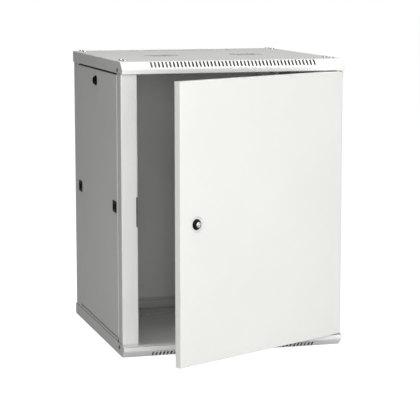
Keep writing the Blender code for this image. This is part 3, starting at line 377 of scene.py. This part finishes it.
# ------------------------------------------------------------------- meshes
def add_piece(name, mesh, body, place=(0, 0, 0), turn=None):
    """An object of a finished mesh that rides on a CAD body."""
    piece = bpy.data.objects.new(name, mesh)
    bpy.context.scene.collection.objects.link(piece)
    piece.location = place
    if turn is not None:
        piece.rotation_euler = turn
    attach(piece, body)
    return piece


def make_mesh(name, shape, material, smooth_deg=35):
    mesh = bpy.data.meshes.new(name)
    bmesh.ops.recalc_face_normals(shape, faces=shape.faces[:])
    shape.to_mesh(mesh)
    shape.free()
    mesh.shade_smooth()
    mesh.set_sharp_from_angle(angle=math.radians(smooth_deg))
    mesh.materials.append(material)
    return mesh


def soften(piece, width):
    """Rounds every edge sharper than an angle and keeps the flats flat."""
    bevel = piece.modifiers.new("bevel", "BEVEL")
    bevel.width = width
    bevel.segments = SOFT_STEPS
    bevel.limit_method = "ANGLE"
    bevel.angle_limit = SOFT_ANGLE
    bevel.use_clamp_overlap = False
    weighted = piece.modifiers.new("weighted", "WEIGHTED_NORMAL")
    weighted.keep_sharp = True


def refine_sheet(node, material):
    """A copy of a CAD sheet with its folds and cut edges rounded, in its place."""
    fold = fold_of(node)
    shape = bmesh.new()
    shape.from_mesh(NODES[node].data)
    bmesh.ops.remove_doubles(shape, verts=shape.verts, dist=WELD)
    if fold is not None:
        bmesh.ops.bevel(
            shape,
            geom=[edge for edge in shape.edges if fold(edge)],
            offset=FOLD_RADIUS,
            segments=FOLD_STEPS,
            profile=ROUND_PROFILE,
            affect="EDGES",
        )
    if node in RIM_LEVEL:
        shape.normal_update()
        # Slot walls take the second material, the dark slot coat: painted shade.
        for face in shape.faces:
            face.material_index = int(is_slot_wall(face))
    mesh = make_mesh(node + "_sheet", shape, material)
    if node in RIM_LEVEL:
        mesh.materials.append(SLOT_SHADE_PAINT)
    piece = add_piece(node + "_sheet", mesh, NODES[node]["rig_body"])
    soften(piece, SHEET_EDGE)
    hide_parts(node)


def is_slot_wall(face):
    """Whether a face of a cover is the side wall of one of its fascia's vent slots."""
    middle = face.calc_center_median()
    sideways = abs(face.normal.x) > VENT_WALL_TILT
    return sideways and abs(middle.x) < VENT_HALF_WIDTH and middle.y < FASCIA_REAR


def side_fold(node):
    """A test for the edges along which a cover's plate folds down into its side walls."""
    _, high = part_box(node)

    def fold(edge):
        on_side = all(abs(abs(vert.co.x) - high[0]) < WELD for vert in edge.verts)
        on_rim = all(abs(vert.co.z - RIM_LEVEL[node]) < WELD for vert in edge.verts)
        on_rear = all(abs(vert.co.y - high[1]) < WELD for vert in edge.verts)
        return on_side and not on_rim and not on_rear and edge_is_sharp(edge)

    return fold


def corner_fold(node):
    """A test for the fold between a corner post's front face and its side strip."""
    low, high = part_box(node)
    outer = max(abs(low[0]), abs(high[0]))
    face = low[1] if node.startswith("post_front") else high[1]

    def fold(edge):
        return all(abs(abs(v.co.x) - outer) < WELD and abs(v.co.y - face) < WELD for v in edge.verts)

    return fold


def fold_of(node):
    """The test for a sheet's folds, or None where only its cut edges are rounded."""
    if node in RIM_LEVEL:
        return side_fold(node)
    return corner_fold(node) if node.startswith("post_") else None


def edge_is_sharp(edge):
    return len(edge.link_faces) == 2 and edge.calc_face_angle(0.0) > SHARP_FOLD


def turned(profile, sides=48):
    """The shape turned about Z from a chain of (radius, height) points."""
    shape = bmesh.new()
    points = [shape.verts.new((radius, 0, height)) for radius, height in profile]
    edges = [shape.edges.new(pair) for pair in zip(points, points[1:])]
    bmesh.ops.spin(shape, geom=points + edges, cent=(0, 0, 0), axis=(0, 0, 1), angle=math.tau, steps=sides)
    bmesh.ops.remove_doubles(shape, verts=shape.verts, dist=WELD / 10)
    return shape


def frustum(low, high, low_half, high_half, sides=4):
    """A block or a regular prism whose two ends may differ in size."""
    shape = bmesh.new()
    reach = 1 / math.cos(math.pi / sides)
    rings = []
    for level, half in ((low, low_half), (high, high_half)):
        ring = []
        for index in range(sides):
            angle = math.tau * (index + 0.5) / sides
            x = half[0] * math.cos(angle) * reach
            y = half[1] * math.sin(angle) * reach
            ring.append(shape.verts.new((x, y, level)))
        rings.append(ring)
    shape.faces.new(rings[0][::-1])
    shape.faces.new(rings[1])
    for index in range(sides):
        after = (index + 1) % sides
        shape.faces.new((rings[0][index], rings[0][after], rings[1][after], rings[1][index]))
    bmesh.ops.recalc_face_normals(shape, faces=shape.faces[:])
    return shape


def combined(shape, tool, operation="DIFFERENCE"):
    """The Boolean of two bmeshes, as a new bmesh."""
    items = []
    for part in (shape, tool):
        mesh = bpy.data.meshes.new("scratch")
        part.to_mesh(mesh)
        part.free()
        items.append(bpy.data.objects.new("scratch", mesh))
        bpy.context.scene.collection.objects.link(items[-1])
    modifier = items[0].modifiers.new("combine", "BOOLEAN")
    modifier.operation = operation
    modifier.object = items[1]
    depsgraph = bpy.context.evaluated_depsgraph_get()
    result = bmesh.new()
    result.from_mesh(items[0].evaluated_get(depsgraph).to_mesh())
    for item in items:
        bpy.data.meshes.remove(item.data)
    return result


def facing(outward):
    """Rotation that turns local +Z outward and keeps local +Y upright."""
    normal = Vector(outward).normalized()
    up = Vector((0, 0, 1))
    return Matrix((up.cross(normal), up, normal)).transposed().to_euler()


def centre(node):
    low, high = (Vector(corner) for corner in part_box(node))
    return (low + high) / 2


# ---------------------------------------------------------------- fasteners
def pan_head_mesh(name, radius, height, length, material):
    """Pan-head screw with a cross recess; the sheet it sits on is at z = 0."""
    profile = [(0.0, height), (0.35 * radius, 0.98 * height), (0.70 * radius, 0.84 * height)]
    profile += [(0.90 * radius, 0.60 * height), (0.985 * radius, 0.32 * height), (radius, 0.10 * height)]
    profile += [(0.98 * radius, 0.0), (0.46 * radius, 0.0), (0.46 * radius, -0.9 * length)]
    profile += [(0.30 * radius, -length), (0.0, -length)]
    shape = turned(profile)
    for long_side, short_side in ((0, 1), (1, 0)):
        floor_half, mouth_half = [0.08 * radius] * 2, [0.10 * radius] * 2
        floor_half[long_side], mouth_half[long_side] = 0.22 * radius, 0.56 * radius
        floor_half[short_side] = 0.07 * radius
        shape = combined(shape, frustum(0.30 * height, 1.1 * height, floor_half, mouth_half))
    return make_mesh(name, shape, material)


def hex_mesh(name, radius, height, material, bolt=True):
    """Hexagon head or nut on its washer, its corners turned down; the sheet is at z = 0."""
    washer, washer_radius = 0.22 * height, 1.28 * radius
    blank = [(0.0, washer), (1.2 * radius, washer), (1.2 * radius, height - 0.10 * radius)]
    blank += [(1.02 * radius, height), (0.0, height)]
    shape = combined(turned(blank), frustum(0.0, 2 * height, [radius] * 2, [radius] * 2, 6), "INTERSECT")
    rim = 0.3 * washer
    disc = [(0.0, 0.0), (washer_radius, 0.0), (washer_radius, washer - rim), (washer_radius - rim, washer)]
    shape = combined(shape, turned(disc + [(0.0, washer)]), "UNION")
    if not bolt:
        stud = [(0.0, 0.5 * height), (0.58 * radius, 0.5 * height), (0.58 * radius, 1.25 * height)]
        stud += [(0.50 * radius, 1.35 * height), (0.0, 1.35 * height)]
        shape = combined(shape, turned(stud), "UNION")
    return make_mesh(name, shape, material)


def add_cover_screws():
    """Cross-recess screws in place of the plain ones, each turned its own way."""
    mesh = pan_head_mesh("cover_screw", *COVER_SCREW, SCREW)
    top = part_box("top_cover")[1][2] + COVER_SCREW_LIFT
    for side, _ in SIDES:
        for index in range(1, 5):
            node = f"cover_screw_{side}_{index}"
            spot = centre(node)
            twist = Euler((0, 0, 1.9 * index + (0.7 if side == "left" else 0.0)))
            screw = add_piece(node + "_head", mesh, CABINET, (spot.x, spot.y, top), twist)
            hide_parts(node)


def add_flange_screws():
    """Screws through the side walls of both covers, near the front posts."""
    mesh = pan_head_mesh("flange_screw", *FLANGE_SCREW, DARK_SCREW)
    (_, front, _), (half_width, _, top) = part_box("top_cover")
    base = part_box("base_cover")[0][2]
    for side, sign in SIDES:
        for level, z in (("base", base + FLANGE_SCREW_Z), ("top", top - FLANGE_SCREW_Z)):
            place = (sign * (half_width + SURFACE_GAP), front + FLANGE_SCREW_Y, z)
            add_piece(f"flange_screw_{level}_{side}", mesh, CABINET, place, facing((sign, 0, 0)))


def add_rail_fasteners():
    """Bolts that clamp the rack rails to the depth rails, and the depth rails' end nuts."""
    bolt = hex_mesh("rail_bolt", *RAIL_BOLT, SCREW)
    nut = hex_mesh("rail_nut", *RAIL_NUT, SCREW, bolt=False)
    for side, sign in SIDES:
        for level in ("lower", "upper"):
            rail_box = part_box(f"depth_rail_{level}_{side}")
            web = min(abs(rail_box[0][0]), abs(rail_box[1][0]))
            z = (rail_box[0][2] + rail_box[1][2]) / 2
            for end, inward in (("front", 1), ("rear", -1)):
                rail = f"rack_rail_{end}_{side}"
                body = NODES[rail]["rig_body"]
                low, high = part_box(rail)
                leg_y = (high[1] if end == "front" else low[1]) - inward * RACK_LEG / 2
                leg = max(abs(low[0]), abs(high[0]))
                inner = sign * (leg - SHEET)
                outer = sign * (web + SHEET)
                label = f"{level}_{end}_{side}"
                add_piece(f"rail_bolt_{label}", bolt, body, (inner, leg_y, z), facing((-sign, 0, 0)))
                add_piece(f"rail_nut_{label}", nut, body, (outer, leg_y, z), facing((sign, 0, 0)))
                tab_y = (rail_box[0][1] if end == "front" else rail_box[1][1]) + inward * SHEET
                place = (sign * TAB_NUT_X, tab_y, z)
                add_piece(f"tab_nut_{label}", nut, CABINET, place, facing((0, inward, 0)))


def add_earth_point():
    """Brass stud with its nut and washer on the cabinet's floor."""
    low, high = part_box("earth_stud")
    spot = centre("earth_stud")
    height = high[2] - low[2]
    place = (spot.x, spot.y, low[2])
    mesh = hex_mesh("earth_nut", EARTH_NUT_RADIUS, 0.42 * height, BRASS)
    nut = add_piece("earth_nut", mesh, CABINET, place)
    root, crest = EARTH_THREAD
    profile = [(0.0, 0.3 * height), (crest, 0.3 * height)]
    level = 0.34 * height
    while level < 0.92 * height:
        profile += [(root, level), (crest, level + EARTH_PITCH / 2)]
        level += EARTH_PITCH
    profile += [(0.8 * crest, height), (0.0, height)]
    thread = make_mesh("earth_thread", turned(profile, 32), BRASS)
    add_piece("earth_thread", thread, CABINET, place)
    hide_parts("earth_stud")


# ------------------------------------------------------------ locks, latches
def in_millimetres(outline):
    return [(radius * MM, height * MM) for radius, height in outline]


def lock_housing_mesh(sink):
    """Tapered nose with a rolled lip round the bore, over its barrel."""
    profile = [(NOSE_BORE, -sink), *in_millimetres(NOSE_LIP + NOSE_FOOT)]
    profile += [(NOSE_BARREL, -sink), (NOSE_BORE, -sink)]
    return make_mesh("lock_housing", turned(profile, 64), PLASTIC, 50)


def lock_rotor_mesh(sink, material):
    """Cylinder face with a countersunk key slot."""
    floor, mouth, top = KEY_LEVELS
    shape = turned([*in_millimetres(ROTOR_FACE), (ROTOR_RADIUS, -sink), (0.0, -sink)], 64)
    shape = combined(shape, frustum(mouth, top, KEY_SLOT, KEY_MOUTH))
    shape = combined(shape, frustum(floor, top, KEY_SLOT, KEY_SLOT))
    return make_mesh("lock_rotor", shape, material)


def add_lock(prefix, seat, outward, fixed_body):
    """Fine housing and rotor in place of the CAD ones, and the screw that holds the cam."""
    turn = facing(outward)
    normal = Vector(outward).normalized()
    cam_depth = abs((centre(f"{prefix}_cam") - seat).dot(normal)) + CAM_THICK / 2
    turning = NODES[f"{prefix}_rotor"]["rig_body"]
    sink = cam_depth - CAM_THICK
    housing_mesh = lock_housing_mesh(sink - BARREL_SHORTER)
    housing = add_piece(f"{prefix}_nose", housing_mesh, fixed_body, seat, turn)
    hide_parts(f"{prefix}_housing")
    finish = SLOT_OF[f"{prefix}_rotor"]
    rotor = add_piece(f"{prefix}_face", lock_rotor_mesh(sink, FINISHES[finish]), turning, seat, turn)
    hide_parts(f"{prefix}_rotor")
    cam_screw = hex_mesh("cam_screw", *CAM_SCREW, SCREW)
    back = Vector(seat) - normal * cam_depth
    add_piece(f"{prefix}_cam_screw", cam_screw, turning, back, facing(-normal))


def grip_mesh(name):
    """Fine ridges side by side, standing on z = 0."""
    shape = bmesh.new()
    for index in range(GRIP_RIDGES):
        ridge = frustum(0.0, GRIP_HEIGHT, GRIP_FOOT, GRIP_CREST)
        shift = (index - (GRIP_RIDGES - 1) / 2) * GRIP_PITCH
        bmesh.ops.translate(ridge, verts=ridge.verts, vec=(shift, 0, 0))
        scratch = bpy.data.meshes.new("ridge")
        ridge.to_mesh(scratch)
        ridge.free()
        shape.from_mesh(scratch)
        bpy.data.meshes.remove(scratch)
    return make_mesh(name, shape, PLASTIC)


def add_grips():
    """A ridged grip on each latch's finger button."""
    for side, sign in SIDES:
        for end, toward in (("front", -1), ("rear", 1)):
            node = f"latch_{side}_{end}_slider"
            low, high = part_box(node)
            face_x = low[0] if sign < 0 else high[0]
            window = centre(f"latch_{side}_{end}_bezel")
            name = f"latch_{side}_{end}_grip"
            place = (face_x - sign * SURFACE_GAP, window.y + toward * GRIP_OFFSET, window.z)
            body = NODES[node]["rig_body"]
            add_piece(name, grip_mesh(name), body, place, facing((sign, 0, 0)))


def add_notch_shade_strips():
    """Black strip on the cut edge of each front post's lock notch, standing in for the shade at that edge.
    """
    half = (SHADE_STRIP_WIDTH / 2, SHADE_STRIP_DEPTH / 2)
    for side, sign in SIDES:
        low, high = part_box(f"post_front_{side}")
        edge = min(abs(low[0]), abs(high[0])) + NOTCH_DEPTH
        mesh = make_mesh(f"notch_shade_strip_{side}", frustum(-NOTCH_HALF, NOTCH_HALF, half, half), PLASTIC)
        place = (sign * (edge - SHADE_STRIP_WIDTH / 2), low[1] + SHEET / 2, NOTCH_CENTRE_Z)
        shade_strip = add_piece(f"notch_shade_strip_{side}", mesh, CABINET, place)
        soften(shade_strip, SHADE_STRIP_EDGE)


def add_hinge_spring():
    """Coil spring between the lower arm of the hinge guide and the pin's collar."""
    low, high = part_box("hinge_guide_top")
    start = low[2] + GUIDE_ARM + SPRING_WIRE
    end = high[2] - GUIDE_ARM - COLLAR_DROP - SPRING_WIRE
    curve = bpy.data.curves.new("hinge_spring", "CURVE")
    curve.dimensions = "3D"
    curve.bevel_depth = SPRING_WIRE
    curve.bevel_resolution = 3
    curve.use_fill_caps = True
    path = curve.splines.new("POLY")
    steps = SPRING_TURNS * SPRING_STEPS
    path.points.add(steps)
    for index, point in enumerate(path.points):
        share = index / steps
        angle = math.tau * SPRING_TURNS * share
        settled = min(max((share * SPRING_TURNS - 1) / (SPRING_TURNS - 2), 0.0), 1.0)
        closed = (share - settled) * SPRING_WIRE * 2
        x = HINGE_AXIS[0] + SPRING_RADIUS * math.cos(angle)
        y = HINGE_AXIS[1] + SPRING_RADIUS * math.sin(angle)
        point.co = (x, y, start + (end - start) * settled + closed, 1.0)
    scratch = bpy.data.objects.new("hinge_spring_path", curve)
    bpy.context.scene.collection.objects.link(scratch)
    mesh = bpy.data.meshes.new_from_object(scratch.evaluated_get(bpy.context.evaluated_depsgraph_get()))
    bpy.data.objects.remove(scratch)
    mesh.name = "hinge_spring"
    mesh.shade_smooth()
    mesh.materials.clear()
    mesh.materials.append(SPRING)
    spring = add_piece("hinge_spring", mesh, DOOR)
    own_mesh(spring)


# ------------------------------------------------------- the whole cabinet
def paint_nodes():
    """Every CAD node takes the finish of its material slot."""
    for node, item in NODES.items():
        item.data.materials.clear()
        item.data.materials.append(FINISHES[SLOT_OF[node]])


def sheet_nodes():
    """The nodes that are folded sheet, cabinet first and door last."""
    nodes = ["base_cover", "top_cover", "rear_panel", "base_cable_plate", "top_cable_plate"]
    for side, _ in SIDES:
        nodes += [f"post_front_{side}", f"post_rear_{side}", f"side_panel_{side}"]
        nodes += [f"frame_rail_top_{side}", f"frame_rail_base_{side}"]
        nodes += [f"depth_rail_lower_{side}", f"depth_rail_upper_{side}"]
        nodes += [f"rack_rail_front_{side}", f"rack_rail_rear_{side}"]
    return nodes + ["door_panel", "door_stiffener"]


def add_sheets():
    for node in sheet_nodes():
        finish = BASE_PAINT if node == "base_cover" else FINISHES[SLOT_OF[node]]
        refine_sheet(node, finish)


def add_side_locks():
    for side, sign in SIDES:
        spot = centre(f"side_lock_{side}_housing")
        low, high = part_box(f"side_panel_{side}")
        face = low[0] if sign < 0 else high[0]
        add_lock(f"side_lock_{side}", Vector((face, spot.y, spot.z)), (sign, 0, 0), CABINET)


def add_door_lock():
    """The door's lock sits on the floor of its dish, measured from the hinge along the open door."""
    hinge = Vector((*HINGE_AXIS, centre("door_lock_housing").z))
    along = Vector((math.cos(DOOR_ANGLE), math.sin(DOOR_ANGLE), 0))
    normal = Vector(DOOR_NORMAL)
    add_lock("door_lock", hinge + along * DOOR_LOCK_X + normal * LOCK_SEAT, normal, DOOR)


# ------------------------------------------------- floor, light and camera
def add_floor():
    """Pale paper that the camera sees as white and that glows faintly on the object."""
    mesh = bpy.data.meshes.new("floor")
    turns = ((-1, -1), (1, -1), (1, 1), (-1, 1))
    mesh.from_pydata([(x * FLOOR_REACH, y * FLOOR_REACH, 0) for x, y in turns], [], [(0, 1, 2, 3)])
    floor = bpy.data.objects.new("floor", mesh)
    bpy.context.scene.collection.objects.link(floor)
    floor.visible_shadow = False
    t = Tree("floor_paper")
    tone = t.ramp(t.noise(2.0, 2.0), 0.3, 0.7)
    seen = t.node("ShaderNodeLightPath").outputs["Is Camera Ray"]
    glow = t.ramp(seen, 0.0, 1.0, FLOOR_GLOW, FLOOR_SEEN)
    mesh.materials.append(t.set(
        Base_Color=t.mix(tone, rgb(0.34, 0.34, 0.34), rgb(0.36, 0.36, 0.36)),
        Roughness=0.9,
        Specular_IOR_Level=0.0,
        Emission_Color=rgb(1.0, 1.0, 1.0),
        Emission_Strength=glow,
    ))


def add_softbox(name, place, aim, size, power):
    light = bpy.data.lights.new(name, "AREA")
    light.shape = "RECTANGLE"
    light.size, light.size_y = size
    light.energy = power
    lamp = bpy.data.objects.new(name, light)
    bpy.context.scene.collection.objects.link(lamp)
    lamp.location = place
    lamp.rotation_euler = (Vector(aim) - Vector(place)).to_track_quat("-Z", "Y").to_euler()


def set_world(ambient, seen):
    """A dim room for the object, and a white backdrop where the camera looks past it."""
    world = bpy.data.worlds.new("studio")
    bpy.context.scene.world = world
    world.use_nodes = True
    tree = world.node_tree
    room = tree.nodes["Background"]
    room.inputs["Color"].default_value = rgb(1.0, 1.0, 1.0)
    room.inputs["Strength"].default_value = ambient
    backdrop = tree.nodes.new("ShaderNodeBackground")
    backdrop.inputs["Color"].default_value = rgb(1.0, 1.0, 1.0)
    backdrop.inputs["Strength"].default_value = seen
    mix = tree.nodes.new("ShaderNodeMixShader")
    path = tree.nodes.new("ShaderNodeLightPath")
    tree.links.new(path.outputs["Is Camera Ray"], mix.inputs[0])
    tree.links.new(room.outputs[0], mix.inputs[1])
    tree.links.new(backdrop.outputs[0], mix.inputs[2])
    tree.links.new(mix.outputs[0], tree.nodes["World Output"].inputs["Surface"])


def add_camera():
    camera = bpy.data.objects.new("camera", bpy.data.cameras.new("camera"))
    bpy.context.scene.collection.objects.link(camera)
    camera.data.lens = CAMERA_LENS
    camera.data.sensor_width = CAMERA_SENSOR
    camera.data.clip_end = CAMERA_REACH
    yaw, pitch, roll = (math.radians(angle) for angle in (CAMERA_YAW, CAMERA_PITCH, CAMERA_ROLL))
    forward = Vector((math.sin(yaw) * math.cos(pitch), math.cos(yaw) * math.cos(pitch), -math.sin(pitch)))
    camera.location = CAMERA_PLACE
    turn = forward.to_track_quat("-Z", "Y").to_matrix() @ Matrix.Rotation(roll, 3, "Z")
    camera.rotation_euler = turn.to_euler()
    bpy.context.scene.camera = camera


paint_nodes()
add_sheets()
add_cover_screws()
add_flange_screws()
add_rail_fasteners()
add_earth_point()
add_grips()
add_notch_shade_strips()
add_hinge_spring()
add_side_locks()
add_door_lock()

for softbox in SOFTBOXES:
    add_softbox(*softbox)
set_world(ROOM_GLOW, BACKDROP_GLOW)
add_floor()
add_camera()
bpy.context.scene.view_settings.view_transform = "Standard"
